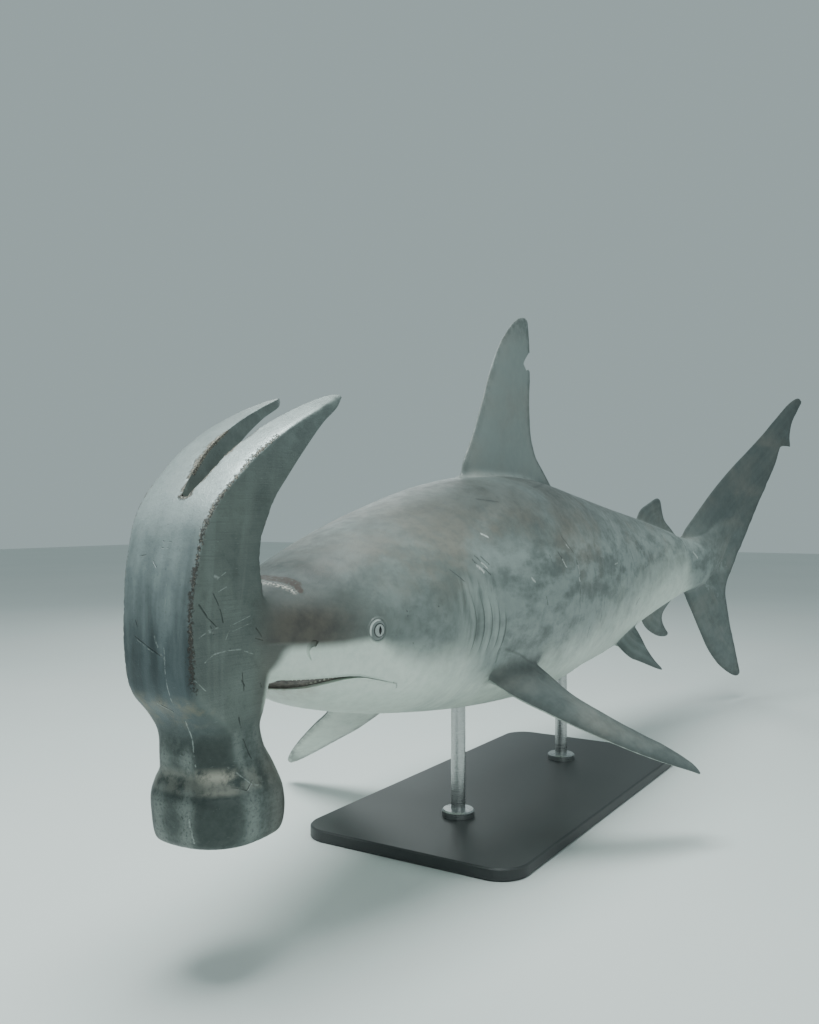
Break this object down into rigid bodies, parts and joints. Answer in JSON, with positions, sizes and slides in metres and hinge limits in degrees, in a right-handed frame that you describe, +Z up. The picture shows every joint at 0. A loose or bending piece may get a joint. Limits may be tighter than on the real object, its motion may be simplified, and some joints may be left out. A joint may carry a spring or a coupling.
{
  "type": "claw-hammer-headed shark model on a display stand",
  "caption": "Life-size grey shark whose snout is the forged steel head of a claw hammer, in a slight swimming bend, held above a flat display base by rods.",
  "frame": {"origin": "centre of the underside of the stand's base", "axes": "+X towards the tail, -Y the animal's left, +Z up"},
  "size_m": [2.9538, 0.9597, 1.12],
  "materials": {
    "forged_steel": "worn forged steel, dull, scratched and pitted",
    "shark_skin": "painted as mottled grey wet shark skin with a pale belly",
    "fin_skin": "painted as grey fin skin, darker at tips and edges",
    "pale_skin": "painted as pale underside skin",
    "eyeball": "clear gloss over a silver iris with an upright slit pupil",
    "stand_paint": "satin dark paint",
    "stand_steel": "satin steel rod"
  },
  "bodies": {
    "root": {"hammer_face": "forged_steel", "hammer_neck": "forged_steel", "hammer_cheek": "forged_steel", "hammer_claw_left": "forged_steel", "hammer_claw_right": "forged_steel", "head": "shark_skin", "lower_jaw": "pale_skin", "eye_left": "eyeball", "eye_right": "eyeball", "gill_region": "shark_skin", "trunk_front": "shark_skin", "trunk_rear": "shark_skin", "tail_front": "shark_skin", "tail_stock": "shark_skin", "dorsal_fin_first": "fin_skin", "dorsal_fin_second": "fin_skin", "anal_fin": "fin_skin", "pectoral_fin_left": "fin_skin", "pectoral_fin_right": "fin_skin", "pelvic_fin_left": "fin_skin", "pelvic_fin_right": "fin_skin", "caudal_fin_upper": "fin_skin", "caudal_fin_lower": "fin_skin", "stand_base": "stand_paint", "stand_rod_front": "stand_steel", "stand_rod_rear": "stand_steel"}
  },
  "joints": []
}
